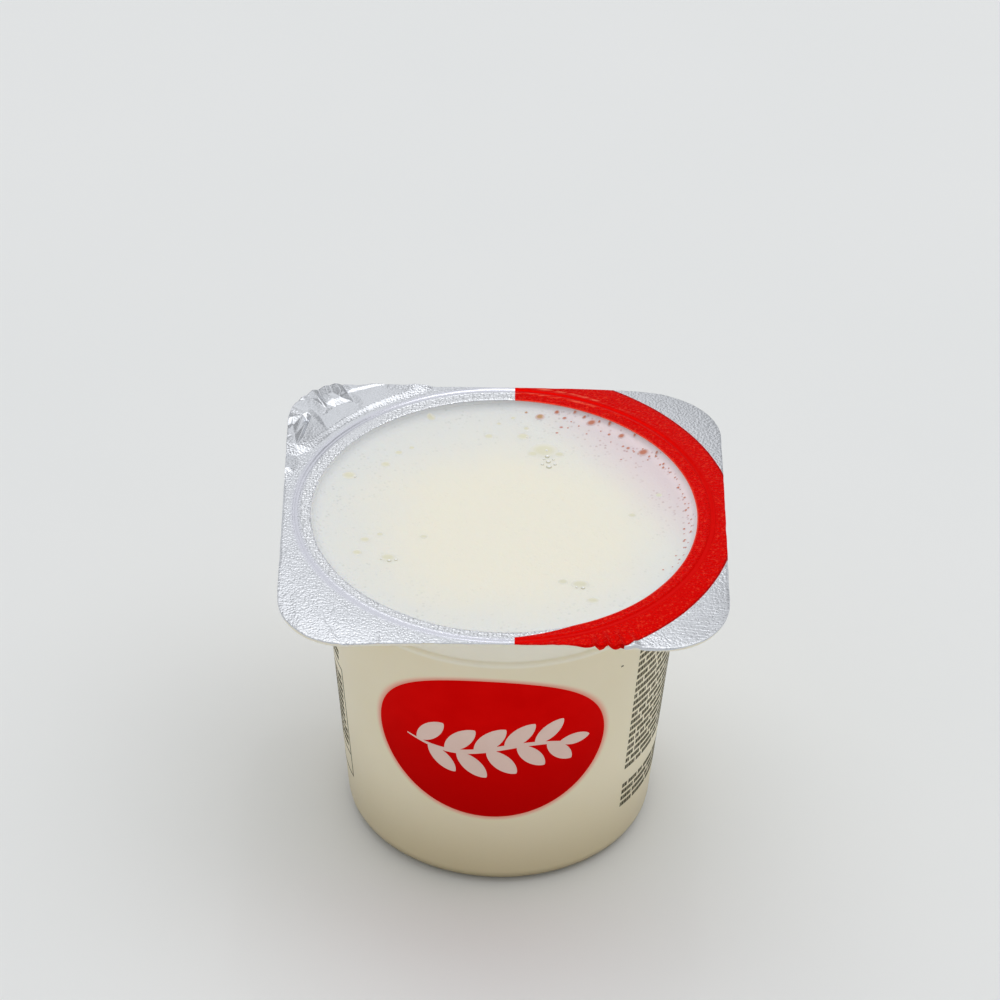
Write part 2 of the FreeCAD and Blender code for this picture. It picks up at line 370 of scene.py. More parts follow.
# Lacquered aluminium lidding foil, embossed all over: bright sparkling grain,
# worn smooth in the ring that the sealing tool pressed, part printed in red.
def make_foil_material():
    material, shader, add = new_material("aluminium lidding foil, embossed", {
        "Specular IOR Level": 0.0})
    place, flat, (x, y, _) = object_places(add)
    radius = add("VectorMath", {0: flat}, operation="LENGTH")
    # The printed crescent: right of a straight cut and inside a large circle.
    from_centre = add("VectorMath", {0: flat, 1: (-3.7 * MM, -0.3 * MM, 0.0)},
                      operation="DISTANCE")
    inside = add("Math", {0: from_centre, 1: crescent_radius * MM},
                 operation="LESS_THAN")
    right = add("Math", {0: x, 1: 1.9 * MM}, operation="GREATER_THAN")
    crescent = add("Math", {0: inside, 1: right}, operation="MULTIPLY")
    # At the front its inner edge runs a little outside the cut opening.
    from_cut = add("VectorMath", {0: flat, 1: (-5.0 * MM, 0.0, 0.0)},
                   operation="DISTANCE")
    outside = add("Math", {0: from_cut, 1: 36.8 * MM}, operation="GREATER_THAN")
    behind = add("Math", {0: y, 1: -31.0 * MM}, operation="GREATER_THAN")
    kept = add("Math", {0: outside, 1: behind}, operation="MAXIMUM")
    printed = add("Math", {0: crescent, 1: kept}, operation="MULTIPLY")
    # Embossed grain of pebbles, drawn 0.46 mm apart; the real ones are finer.
    grain = add("TexVoronoi", {"Vector": place, "Scale": 1 / (0.46 * MM)}, feature="F1")
    ground = add("TexNoise", {"Vector": place, "Scale": 1 / (0.6 * MM), "Detail": 1.0})
    pebbled = add("Math", {0: ground, 1: 0.3, 2: grain}, operation="MULTIPLY_ADD")
    # Towards the front right corner it was rubbed to slanting streaks.
    slanting = add("Mapping", {
        "Vector": place, "Rotation": (0.0, 0.0, math.radians(14)),
        "Scale": (1 / (3.0 * MM), 1 / (0.35 * MM), 1 / (3.0 * MM))})
    streaks = add("TexNoise", {"Vector": slanting, "Scale": 1.0, "Detail": 1.0})
    from_corner = add("VectorMath", {0: flat, 1: (34.0 * MM, -30.0 * MM, 0.0)},
                      operation="DISTANCE")
    rubbed = add("MapRange", {"Value": from_corner, "From Min": 5 * MM,
                              "From Max": 13 * MM, "To Min": 0.7, "To Max": 0.0}, **SMOOTH)
    outer = add("Mix", {0: rubbed, 2: pebbled, 3: streaks}, data_type="FLOAT")
    # The seal band inside the pressed ring has rounder beads, 0.62 mm apart.
    beads = add("TexVoronoi", {"Vector": place, "Scale": 1 / (0.62 * MM),
                               "Randomness": 0.7}, feature="F1")
    domed = add("Math", {0: beads, 1: 0.34}, operation="PINGPONG")
    raised = add("Math", {0: domed, 1: 1.9}, operation="MULTIPLY")
    in_band = add("MapRange", {"Value": radius, "From Min": 36.1 * MM,
                               "From Max": 36.4 * MM, "To Min": 1.0, "To Max": 0.0})
    relief = add("Mix", {0: in_band, 2: outer, 3: raised}, data_type="FLOAT")
    # Worn smooth in the pressed ring, down to this share of the grain.
    worn = 0.12
    from_ring = add("Math", {0: radius, 1: 37.2 * MM}, operation="SUBTRACT")
    ring_away = add("Math", {0: from_ring}, operation="ABSOLUTE")
    rough_part = add("MapRange", {"Value": ring_away, "From Min": 0.35 * MM,
                                  "From Max": 1.05 * MM, "To Min": worn, "To Max": 1.0})
    # It is smoother too where the back left corner was bent up and stretched.
    from_fold = add("VectorMath", {0: flat, 1: (-34.0 * MM, 32.0 * MM, 0.0)},
                    operation="DISTANCE")
    stretched = add("MapRange", {"Value": from_fold, "From Min": 10 * MM,
                                 "From Max": 17 * MM, "To Min": 0.30}, **SMOOTH)
    grain_depth = add("Math", {0: rough_part, 1: stretched}, operation="MULTIPLY")
    # The print, red ink over the metal, with painted highlights on some of the pebbles' tips.
    tips = add("TexNoise", {"Vector": place, "Scale": 1 / (0.45 * MM), "Detail": 1.0})
    tip_highlight_share = add("MapRange", {"Value": tips, "From Min": 0.57, "From Max": 0.70,
                                  "To Max": 0.45})
    tip_highlight = add("Math", {0: tip_highlight_share, 1: grain_depth}, operation="MULTIPLY")
    red = add("Mix", {SHARE: tip_highlight, UNDER: "DC0300", OVER: "F6462E"}, **COLOURS)
    # Its outer border overprints to a darker line, and along the cut a painted highlight stands
    # for light on the cut edge.
    border = add("MapRange", {
        "Value": from_centre, "From Min": (crescent_radius - 0.45) * MM,
        "From Max": (crescent_radius - 0.2) * MM, "To Max": 0.6})
    bordered = add("Mix", {SHARE: border, UNDER: red, OVER: "8E0A0A"}, **COLOURS)
    from_middle = add("VectorMath", {0: flat, 1: (0.0, opening_shift * MM, 0.0)},
                      operation="DISTANCE")
    cut_edge_highlight = add("MapRange", {
        "Value": from_middle, "From Min": (opening_radius + 0.05) * MM,
        "From Max": (opening_radius + 0.3) * MM, "To Min": 0.4, "To Max": 0.0})
    cut_edge_lit = add("Mix", {SHARE: cut_edge_highlight, UNDER: bordered, OVER: "FF7A5E"}, **COLOURS)
    # Behind, painted highlights lie in patches along the ring's two ridges.
    from_ridge = add("Math", {0: ring_away, 1: 0.95 * MM}, operation="SUBTRACT")
    ridge_away = add("Math", {0: from_ridge}, operation="ABSOLUTE")
    ridge = add("MapRange", {"Value": ridge_away, "From Min": 0.08 * MM,
                             "From Max": 0.38 * MM, "To Min": 1.0, "To Max": 0.0}, **SMOOTH)
    far_side = add("MapRange", {"Value": y, "From Min": 29 * MM, "From Max": 36 * MM,
                                "To Max": 0.6}, **SMOOTH)
    ridge_highlight_behind = add("Math", {0: ridge, 1: far_side}, operation="MULTIPLY")
    patches = add("MapRange", {"Value": streaks, "From Min": 0.44, "From Max": 0.62})
    ridge_highlight = add("Math", {0: ridge_highlight_behind, 1: patches}, operation="MULTIPLY")
    ridge_lit_red = add("Mix", {SHARE: ridge_highlight, UNDER: cut_edge_lit, OVER: "FF8A68"}, **COLOURS)
    # Bare metal, in faint patches about 9 mm across. The seal band inside the
    # ring is as bright as the palest of them, and the ring a soft lilac grey.
    patch = add("TexNoise", {"Vector": place, "Scale": 1 / (9 * MM), "Detail": 2.0})
    silver = add("Mix", {SHARE: patch, UNDER: "D3D6DB", OVER: "DFE1E6"}, **COLOURS)
    banded = add("Mix", {SHARE: in_band, UNDER: silver, OVER: "DFE1E5"}, **COLOURS)
    pressed_share = add("MapRange", {"Value": rough_part, "From Min": worn,
                                     "To Min": 0.85, "To Max": 0.0})
    ringed = add("Mix", {SHARE: pressed_share, UNDER: banded, OVER: "D8D9E3"}, **COLOURS)
    colour = add("Mix", {SHARE: printed, UNDER: ringed, OVER: ridge_lit_red}, **COLOURS)
    metal = add("MapRange", {"Value": printed, "To Min": 1.0, "To Max": 0.4})
    # The tips of the pebbles are burnished and sparkle.
    rough = add("MapRange", {"Value": grain_depth, "To Min": 0.24, "To Max": 0.30})
    burnished = add("MapRange", {"Value": grain, "From Min": 0.05, "From Max": 0.45,
                                 "To Min": -0.12, "To Max": 0.05})
    sparkling = add("Math", {0: burnished, 1: grain_depth, 2: rough},
                    operation="MULTIPLY_ADD")
    embossing = add("Bump", {"Strength": grain_depth, "Distance": 0.085 * MM,
                             "Height": relief})
    set_inputs(shader, {"Base Color": colour, "Metallic": metal,
                        "Roughness": sparkling, "Normal": embossing})
    return material


# Frothy ayran: a thick, wet yogurt drink under a skin of very fine foam.
# Cream in the middle, cooler at the wall, with painted pink light beside the print.
def make_ayran_material():
    material, shader, add = new_material("ayran, fine wet froth", {
        "Roughness": 0.42, "IOR": 1.34, "Subsurface Weight": 0.2,
        "Subsurface Radius": (1.0, 0.8, 0.6), "Subsurface Scale": 0.002})
    place, flat, _ = object_places(add)
    off_centre = add("VectorMath", {0: flat, 1: (1.5 * MM, -2.0 * MM, 0.0)},
                     operation="DISTANCE")
    drift = add("TexNoise", {"Vector": place, "Scale": 1 / (14 * MM), "Detail": 2.0})
    drifted = add("Math", {0: drift, 1: 10 * MM, 2: off_centre},
                  operation="MULTIPLY_ADD")
    outward = add("MapRange", {"Value": drifted, "From Min": 19 * MM,
                               "From Max": 40 * MM}, **SMOOTH)
    body = add("Mix", {SHARE: outward, UNDER: "F3EFDF", OVER: "E8E9E5"}, **COLOURS)
    # Painted light: the pink cast lies along the right and back wall, under the red print.
    sideways = add("VectorMath", {0: flat, 1: print_way}, operation="DOT_PRODUCT")
    cast = add("MapRange", {"Value": sideways, "From Min": 19 * MM,
                            "From Max": 33 * MM, "To Max": 0.9}, **SMOOTH)
    pink_lit = add("Mix", {SHARE: cast, UNDER: body, OVER: "E6D6DA"}, **COLOURS)
    # Painted light: where the froth banks up at the wall it is painted paler against the shade
    # there, and pinker beside the print.
    from_axis = add("VectorMath", {0: flat}, operation="LENGTH")
    bank_light = add("MapRange", {"Value": from_axis, "From Min": 31.4 * MM,
                           "From Max": 33.8 * MM}, **SMOOTH)
    bank_light_side = add("MapRange", {"Value": cast, "To Min": 0.35, "To Max": 0.9})
    bank_light_share = add("Math", {0: bank_light, 1: bank_light_side}, operation="MULTIPLY")
    bank_light_colour = add("Mix", {SHARE: cast, UNDER: "F0F1F4", OVER: "FBE6E8"}, **COLOURS)
    bank_lit = add("Mix", {SHARE: bank_light_share, UNDER: pink_lit, OVER: bank_light_colour}, **COLOURS)
    # Fine bubbles burst into pores 0.2 to 0.6 mm wide, most of them by the wall.
    pores = add("TexVoronoi", {"Vector": place, "Scale": 1 / (0.95 * MM)}, feature="F1")
    pore_mask = add("MapRange", {"Value": pores, "From Min": 0.12, "From Max": 0.34,
                                 "To Min": 1.0, "To Max": 0.0})
    clusters = add("TexNoise", {"Vector": place, "Scale": 1 / (4 * MM), "Detail": 2.0})
    clustered = add("MapRange", {"Value": clusters, "From Min": 0.42, "From Max": 0.60})
    near_wall = add("MapRange", {"Value": off_centre, "From Min": 19 * MM,
                                 "From Max": 33 * MM, "To Min": 0.05,
                                 "To Max": 0.42}, **SMOOTH)
    more_pores = add("Math", {0: cast, 1: 0.5, 2: near_wall}, operation="MULTIPLY_ADD")
    pore_here = add("Math", {0: pore_mask, 1: clustered}, operation="MULTIPLY")
    pore_share = add("Math", {0: pore_here, 1: more_pores}, operation="MULTIPLY")
    # Painted shade: the pores are painted grey in their pits, and pink beside the print as
    # painted light.
    pore_shade_colour = add("Mix", {SHARE: cast, UNDER: "CACCC6", OVER: "BE8A8E"}, **COLOURS)
    pore_shaded = add("Mix", {SHARE: pore_share, UNDER: bank_lit, OVER: pore_shade_colour}, **COLOURS)
    # Foam texture, drawn at 0.5 mm; the real foam goes down to 0.1 mm.
    foam = add("TexVoronoi", {"Vector": place, "Scale": 1 / (0.5 * MM)}, feature="F1")
    sunk = add("Math", {0: pore_here, 1: -1.2, 2: foam}, operation="MULTIPLY_ADD")
    skin = add("Bump", {"Strength": 0.5, "Distance": 0.05 * MM, "Height": sunk})
    set_inputs(shader, {"Base Color": pore_shaded, "Normal": skin})
    return material


# Bubbles under the drink's skin: wet and glossy, with a tint at their middle
# that fades to their rim. The dome map holds the distance from a bubble's
# middle, 0 to 1. Those at the left have another middle tint.
# For the clear bubbles the white middle is a painted highlight and the darker rim painted
# shade; for the red ones the tint is a painted reflection of the red print.
def make_bubble_material(name, left_middle, middle, rim):
    material, shader, add = new_material(name, {"Roughness": 0.06, "IOR": 1.34})
    dome = add("UVMap", uv_map="dome")
    away = add("SeparateXYZ", {"Vector": dome})
    fade = add("MapRange", {"Value": away, "From Min": 0.35, "From Max": 0.95}, **SMOOTH)
    place = add("TexCoord").outputs["Object"]
    spot = add("SeparateXYZ", {"Vector": place})
    side = add("MapRange", {"Value": spot, "From Min": 8 * MM, "From Max": 9 * MM})
    tint = add("Mix", {SHARE: side, UNDER: left_middle, OVER: middle}, **COLOURS)
    colour = add("Mix", {SHARE: fade, UNDER: tint, OVER: rim}, **COLOURS)
    set_inputs(shader, {"Base Color": colour})
    return material


# Flexo ink on plastic: a thin opaque film with a soft gloss, and a little
# unevenness where the plate laid less of it.
def make_ink(name, full, thin, low, patch_size):
    material, shader, add = new_material(name, {
        "Roughness": 0.5, "IOR": 1.5, "Specular IOR Level": 0.01})
    place = add("TexCoord").outputs["Object"]
    lay = add("TexNoise", {"Vector": place, "Scale": 1 / (patch_size * MM),
                           "Detail": 3.0})
    share = add("MapRange", {"Value": lay, "From Min": 0.35, "From Max": 0.75})
    ink = add("Mix", {SHARE: share, UNDER: full, OVER: thin}, **COLOURS)
    # Painted shade: it darkens towards the cup's foot, as the wall under it does.
    height = add("SeparateXYZ", {"Vector": place}).outputs["Z"]
    ink_foot_shade = add("MapRange", {"Value": height, "From Min": 14 * MM, "From Max": 44 * MM,
                             "To Min": 1.0, "To Max": 0.0}, **SMOOTH)
    colour = add("Mix", {SHARE: ink_foot_shade, UNDER: ink, OVER: low}, **COLOURS)
    set_inputs(shader, {"Base Color": colour})
    return material


# ---- cup ------------------------------------------------------------------

def wall_radius(height):
    """Outside of the tapered body wall."""
    inner = neck_radius - (neck_height - height) * math.tan(draft)
    return inner + wall / math.cos(draft)


def inside_points():
    """Corners of the inside: radius, height and rounding."""
    return [
        (3.0, wall + panel_rise, 0),
        (panel_radius - panel_slope, wall + panel_rise, 1.0),
        (panel_radius, wall, 1.0),
        (base_radius, wall, base_rounding - wall),
        (neck_radius, neck_height, 0.12),
        (neck_radius - ledge_width, ledge_height, 0.6),
        (mouth_radius, rim_height, 0.3),
        (groove_inner, rim_height, 0),
    ]


def outside_points():
    """The inside's corners, moved out by the wall."""
    inner = [Vector(point[:2]) for point in inside_points()]
    turns = [0, 1.4, 0.6, base_rounding, 0.6, 0.2]
    moved = [(3.0, panel_rise, 0)]
    for index in range(1, 6):
        before = (inner[index] - inner[index - 1]).normalized()
        after = (inner[index + 1] - inner[index]).normalized()
        shift = wall / (1 + before.dot(after))
        corner = inner[index] + shift * Vector((before.y + after.y, -before.x - after.x))
        moved.append((corner.x, corner.y, turns[index]))
    ledge = inner[5]
    slope = (mouth_radius - ledge.x) / (rim_height - ledge.y)
    root = mouth_radius - slope * flange_thickness + wall * math.hypot(1, slope)
    moved.append((root, rim_height - flange_thickness, 0.7))
    moved.append((bend_start, rim_height - flange_thickness, 0))
    return moved


def flange_ring(share, depth):
    """Ring between the bend's start and the flange's edge, depth below its face."""
    def place(azimuth):
        edge = outline_radius(azimuth, flange_half_x, flange_half_y, flange_corner)
        radius = bend_start + (edge - bend_start) * share
        return radius, rim_height - bend_drop(radius) - depth
    return place


def make_cup(material):
    outer = rounded(outside_points())
    inner = rounded(inside_points())
    piece = start_rings("cup_shell", 360, level(*outer[0]), True)
    for point in outer[1:]:
        pull_ring(piece, level(*point))
    for share in (0.25, 0.5, 0.75, 0.97):
        pull_ring(piece, flange_ring(share, flange_thickness))
    pull_ring(piece, flange_ring(1.0, flange_thickness - 0.15))
    pull_ring(piece, flange_ring(1.0, 0.12))
    for share in (0.97, 0.75, 0.5, 0.25, 0.0):
        pull_ring(piece, flange_ring(share, 0.0))
    pull_ring(piece, level(groove_outer, rim_height))
    pull_ring(piece, level((groove_inner + groove_outer) / 2, rim_height - 0.2))
    for point in inner[::-1]:
        pull_ring(piece, level(*point))
    close_up()
    finish_piece(piece, material, 35)
    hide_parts("cup")


# ---- foil -----------------------------------------------------------------

# The back left corner was pulled up off the flange and crumpled into facets.
# Each fold is a line of points: x, y and how far the foil has come up there.
corner_folds = (
    # Its root, where the foil is still sealed down.
    ((-40.2, 7.6, 0.0), (-38.0, 8.2, 0.0), (-37.9, 10.6, 0.0), (-36.9, 13.6, 0.0),
     (-34.6, 17.8, 0.0), (-31.4, 22.6, 0.0), (-28.0, 26.4, 0.0), (-24.6, 29.6, 0.0),
     (-20.6, 32.5, 0.0), (-17.4, 34.4, 0.0), (-14.2, 35.9, 0.0), (-12.6, 38.9, 0.0)),
    # A swell in front of it, falling to a valley.
    ((-40.2, 11.6, 0.62), (-38.6, 11.6, 0.50)),
    ((-40.2, 16.8, 0.04), (-37.4, 15.7, 0.04), (-34.6, 17.8, 0.0)),
    # The crest of the white fold behind the valley.
    ((-40.2, 19.0, 1.05), (-37.5, 18.0, 0.98), (-34.8, 20.4, 0.62), (-32.2, 23.4, 0.46)),
    # It goes on as a low ridge beside the pressed ring.
    ((-32.2, 23.4, 0.46), (-28.8, 27.4, 0.48), (-25.3, 30.7, 0.48), (-21.3, 33.6, 0.46),
     (-18.0, 35.5, 0.40)),
    # The narrow pocket: left lip, floor and right lip.
    ((-37.5, 18.0, 0.98), (-38.0, 21.0, 1.06), (-36.8, 27.3, 1.34)),
    ((-37.3, 19.6, 0.70), (-36.0, 26.5, 0.40)),
    ((-37.5, 18.0, 0.98), (-36.5, 20.4, 0.96), (-35.2, 27.2, 1.24)),
    ((-36.8, 27.3, 1.34), (-35.9, 28.0, 1.40), (-35.2, 27.2, 1.24)),
    # A crease from the left edge to the pocket's back end.
    ((-40.2, 21.6, 1.15), (-38.4, 24.6, 1.00), (-36.8, 27.3, 1.34)),
    ((-40.2, 20.2, 0.90), (-38.0, 21.0, 1.06)),
    # A small bump at the left edge.
    ((-40.2, 23.6, 0.80), (-38.9, 25.2, 0.95), (-38.5, 26.8, 1.55), (-39.6, 27.6, 1.10)),
    # Along the rounded edge, pinched in and out.
    ((-40.0, 26.2, 1.40), (-39.9, 28.8, 1.25), (-39.4, 30.6, 1.75), (-38.7, 32.2, 1.40),
     (-37.7, 34.0, 1.95), (-36.8, 35.2, 1.55), (-35.8, 36.4, 2.15), (-34.6, 37.3, 1.50),
     (-33.4, 38.1, 2.05), (-31.6, 38.6, 2.00), (-30.4, 38.7, 1.35), (-28.8, 38.8, 1.10),
     (-26.8, 38.8, 0.62), (-25.0, 38.8, 1.02), (-21.2, 38.8, 0.74), (-18.4, 38.8, 0.55),
     (-16.2, 38.8, 0.80), (-14.2, 38.8, 0.50)),
    # Smooth facet between the pocket and the wedge.
    ((-35.9, 28.0, 1.40), (-35.4, 30.0, 0.98), (-33.5, 27.2, 0.66), (-32.2, 23.4, 0.46)),
    ((-35.4, 30.0, 0.98), (-36.4, 32.4, 1.42), (-37.7, 34.0, 1.95)),
    ((-33.5, 27.2, 0.66), (-28.8, 27.4, 0.48)),
    # The bright wedge, its crest and the groove beside it.
    ((-33.5, 27.2, 0.66), (-35.4, 33.0, 1.20), (-36.8, 35.2, 1.55)),
    ((-32.4, 29.6, 0.88), (-34.1, 32.6, 1.62), (-35.8, 36.4, 2.15)),
    ((-32.6, 31.2, 0.92), (-33.6, 33.8, 1.16), (-34.6, 37.3, 1.50)),
    ((-33.5, 27.2, 0.66), (-32.2, 28.6, 0.62), (-31.0, 30.4, 0.72), (-29.4, 31.6, 0.66)),
    # The puffed pleat and the deep crease at its right.
    ((-33.4, 38.1, 2.05), (-32.4, 33.6, 1.58), (-31.4, 32.2, 1.44), (-30.2, 33.0, 1.40),
     (-30.0, 35.0, 1.56), (-31.6, 38.6, 2.00)),
    ((-31.6, 34.6, 1.32), (-32.2, 37.0, 1.62)),
    ((-30.4, 38.7, 1.35), (-28.9, 35.2, 0.72), (-27.6, 32.4, 0.46), (-26.6, 30.6, 0.36)),
    # The flat facet behind the crease, and its raised back edge.
    ((-28.9, 35.2, 0.72), (-27.9, 36.3, 1.02), (-24.2, 37.6, 0.94), (-21.2, 38.8, 0.74)),
    ((-28.2, 35.2, 0.66), (-24.2, 37.0, 0.66), (-21.4, 38.0, 0.60)),
    ((-27.9, 36.3, 1.02), (-26.8, 38.8, 0.62)),
    ((-27.6, 32.4, 0.46), (-26.8, 34.0, 0.62), (-24.2, 37.0, 0.66)),
    ((-21.2, 38.8, 0.74), (-21.8, 35.4, 0.58), (-21.3, 33.6, 0.46)),
    ((-18.4, 38.8, 0.55), (-18.4, 36.6, 0.36), (-18.0, 35.5, 0.40)),
    ((-16.2, 38.8, 0.80), (-17.4, 34.4, 0.0)),
)


def spread_facets():
    """The folds' points joined up to flat facets, three corners each."""
    spots = []
    lines = []
    for fold in corner_folds:
        for step, spot in enumerate(fold):
            if spot not in spots:
                spots.append(spot)
            if step:
                lines.append((spots.index(fold[step - 1]), spots.index(spot)))
    flat = [Vector(spot[:2]) for spot in spots]
    places, _, corners, origins, _, _ = geometry.delaunay_2d_cdt(flat, lines, [], 0, 1e-4)
    lifts = []
    for origin, place in zip(origins, places):
        if origin:
            lifts.append(spots[origin[0]][2])
        else:
            nearest = min(range(len(flat)), key=lambda spot: (place - flat[spot]).length)
            lifts.append(spots[nearest][2])
    return [[(*places[corner], lifts[corner]) for corner in facet] for facet in corners]


facets = spread_facets()


def facet_rise(x, y):
    """How far the crumpled corner has come up over a point."""
    for (ax, ay, a_lift), (bx, by, b_lift), (cx, cy, c_lift) in facets:
        whole = (bx - ax) * (cy - ay) - (cx - ax) * (by - ay)
        if abs(whole) < 1e-6:
            continue
        b_share = ((x - ax) * (cy - ay) - (cx - ax) * (y - ay)) / whole
        c_share = ((bx - ax) * (y - ay) - (x - ax) * (by - ay)) / whole
        if min(b_share, c_share, 1 - b_share - c_share) > -1e-6:
            return a_lift + b_share * (b_lift - a_lift) + c_share * (c_lift - a_lift)
    return 0.0


# Creases: outer end, inner end, half width at the outer end, height there.
creases = (
    ((-21.0, -38.2), (-21.0, -31.9), 0.4, -0.14),
    ((-21.6, -38.2), (-21.6, -32.4), 0.5, 0.14),
    ((-29.2, -34.4), (-33.0, -26.5), 0.8, -0.14),
    ((-30.2, -34.0), (-33.8, -26.5), 0.8, 0.12),
    ((-35.6, -30.0), (-36.6, -22.0), 1.2, 0.14),
    ((39.0, 29.4), (35.6, 24.6), 0.5, -0.12),
    ((15.8, -38.4), (15.4, -34.8), 0.7, 0.56),
    ((18.0, -38.4), (17.3, -34.0), 0.8, 0.78),
    ((20.3, -38.4), (19.4, -33.8), 0.9, 0.76),
    ((23.0, -38.4), (21.8, -34.2), 1.2, 0.58),
    ((8.4, -38.2), (8.8, -36.8), 1.2, 0.16),
)

# Scallops of the front edge: x, half width, extra length of the turned edge.
edge_scallops = (
    (-13.0, 1.4, -0.5), (15.0, 1.0, -0.15), (16.6, 0.9, 0.35), (18.1, 0.8, -0.25),
    (20.0, 1.0, 0.40), (22.4, 1.2, -0.2),
)


def crease_rise(x, y):
    rise = 0.0
    for (outer_x, outer_y), (inner_x, inner_y), half_width, height in creases:
        run = Vector((outer_x - inner_x, outer_y - inner_y))
        away = Vector((x - inner_x, y - inner_y))
        along = away.dot(run) / run.length_squared
        if along <= 0:
            continue
        along = min(along, 1.15)
        aside = abs(away.x * run.y - away.y * run.x) / run.length
        nearness = 1 - aside / (half_width * (0.3 + 0.7 * along))
        if nearness > 0:
            rise += height * along ** 0.8 * nearness
    return rise


def foil_edge(azimuth):
    """The foil's outline; its pulled corner stands out a little further."""
    pulled = smooth_step(-148, -138, azimuth) * smooth_step(-92, -106, azimuth)
    return outline_radius(azimuth, foil_half_x - foil_inset, foil_half_y - foil_inset,
                          foil_corner - 2.0 * pulled)


def foil_height(x, y):
    """Top face of the foil over a point, before the edge turns down."""
    radius = math.hypot(x, y)
    height = foil_face - bend_drop(radius)
    outward = smooth_step(groove_outer, groove_outer + 7, radius)
    off_ring = smooth_step(groove_outer, groove_outer + 2.6, radius)
    if x < -12 and y > 7:
        height += facet_rise(x, y) * off_ring
    # Narrow strips of its edge are bent down at the left and the right.
    strip_width = 0.36
    strip = smooth_step(-17, -15, y) * smooth_step(8, 6, y)
    if x > 0:
        strip = smooth_step(-22, -20, y) * smooth_step(-11, -13, y)
    height -= 0.9 * strip * max(0.0, strip_width - (foil_half_x - abs(x)))
    height += crease_rise(x, y) * smooth_step(groove_outer - 0.2, groove_outer + 1, radius)
    # Slack of the thin metal, 3 to 12 mm across.
    slack = noise.noise(Vector((x / 9, y / 9, 3.1)))
    slack += 0.5 * noise.noise(Vector((x / 3.2, y / 3.2, 7.7)))
    height += 0.06 * slack * outward
    return min(height, foil_limit)


def opening_edge(azimuth):
    """Cut edge of the opening, with the slight wander of a blade."""
    angle = math.radians(azimuth)
    shift_out = -opening_shift * math.cos(angle)
    shift_side = opening_shift * math.sin(angle)
    radius = shift_out + math.sqrt(opening_radius ** 2 - shift_side ** 2)
    wander = noise.noise(Vector((6 * math.cos(angle), 6 * math.sin(angle), 1.5)))
    return radius + 0.08 * wander


def edge_hang(x, y):
    """How far the foil's edge turns down past the flange, by place."""
    hang = 0.20 + 0.10 * noise.noise(Vector((x / 5, y / 5, 0.4)))
    hang += 0.12 * noise.noise(Vector((x / 1.7, y / 1.7, 5.2)))
    if y < -35:
        # Scalloped where it was pinched, and nicked left of the middle.
        hang += 0.50 * smooth_step(11, 15, x) * smooth_step(34, 22, x)
        for middle, half_width, length in edge_scallops:
            hang += length * max(0.0, 1 - abs(x - middle) / half_width)
    return max(0.03, hang)


def foil_ring(share, hang=0.0):
    """Ring at a share of the way out to the ragged edge, which hangs down."""
    def place(azimuth):
        angle = math.radians(azimuth)
        ragged = noise.noise(Vector((14 * math.cos(angle), 14 * math.sin(angle), 9.1)))
        edge = foil_edge(azimuth) - 0.14 * max(0.0, ragged)
        radius = bend_start + (edge - bend_start) * share
        x, y = on_circle(azimuth, radius)
        return radius, foil_height(x, y) - hang * edge_hang(x, y)
    return place


def seal_ring(share, drop=0.0):
    """Ring at a share of the way from the opening's cut edge to the pressed ring."""
    def place(azimuth):
        cut = opening_edge(azimuth)
        radius = cut + (seal_edge - cut) * share
        return radius, foil_height(*on_circle(azimuth, radius)) - drop
    return place


# The sealing tool pressed a ring between two low ridges: radius and rise.
pressed_rises = ((36.1, 0.015), (36.3, 0.05), (36.5, 0.03), (36.65, -0.02), (36.8, -0.06),
                 (36.95, -0.075), (37.1, -0.06), (37.25, -0.02), (37.4, 0.03), (37.6, 0.05))
flat_share = 0.985                      # of the way out, where the edge begins to turn


def pressed(radius, rise):
    """A line of the pressed ring, which is deeper behind than at the front."""
    def place(azimuth):
        depth = 0.4 + 0.6 * smooth_step(5, 28, -radius * math.cos(math.radians(azimuth)))
        return radius, foil_face + rise * depth
    return place


def refine_corner(piece):
    """Divide the crumpled corner's faces, so that its folds come out sharp."""
    edit("FACE")
    bpy.ops.mesh.select_all(action="DESELECT")
    shape = bmesh.from_edit_mesh(piece.data)
    for face in shape.faces:
        x, y = face.calc_center_median().xy / MM
        edge = foil_edge(math.degrees(math.atan2(x, -y)))
        inside = math.hypot(x, y) < bend_start + (edge - bend_start) * flat_share
        if x < -13 and y > 7.5 and inside and math.hypot(x, y) > groove_outer + 0.4:
            face.select_set(True)
    bmesh.update_edit_mesh(piece.data)
    bpy.ops.mesh.subdivide(number_cuts=2)
    shape = bmesh.from_edit_mesh(piece.data)
    for vert in shape.verts:
        if vert.select:
            x, y = vert.co.xy / MM
            vert.co.z = foil_height(x, y) * MM
    bmesh.update_edit_mesh(piece.data)
    bpy.ops.object.mode_set(mode="OBJECT")


def make_foil(material):
    piece = start_rings("foil_sheet", 720, seal_ring(0.0, drop=0.06), False)
    for share in (0.08, 0.3, 0.6, 0.85):
        pull_ring(piece, seal_ring(share))
    for radius, rise in pressed_rises:
        pull_ring(piece, pressed(radius, rise))
    rows = 20
    for row in range(1, rows + 1):
        pull_ring(piece, foil_ring(row / rows * flat_share))
    # Its edge reaches past the flange and turns down.
    for share, hang in ((0.996, 0.15), (1.0, 0.45), (1.0, 0.75), (1.0, 1.0)):
        pull_ring(piece, foil_ring(share, hang))
    close_up(cap=False)
    if piece.data.polygons[0].normal.z < 0:
        piece.data.flip_normals()
    refine_corner(piece)
    give_thickness(piece, foil_thickness)
    finish_piece(piece, material)
    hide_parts("foil_lid")


# ---- drink ----------------------------------------------------------------

wall_at_fill = mouth_radius - collar_slope * (rim_height - fill_height)
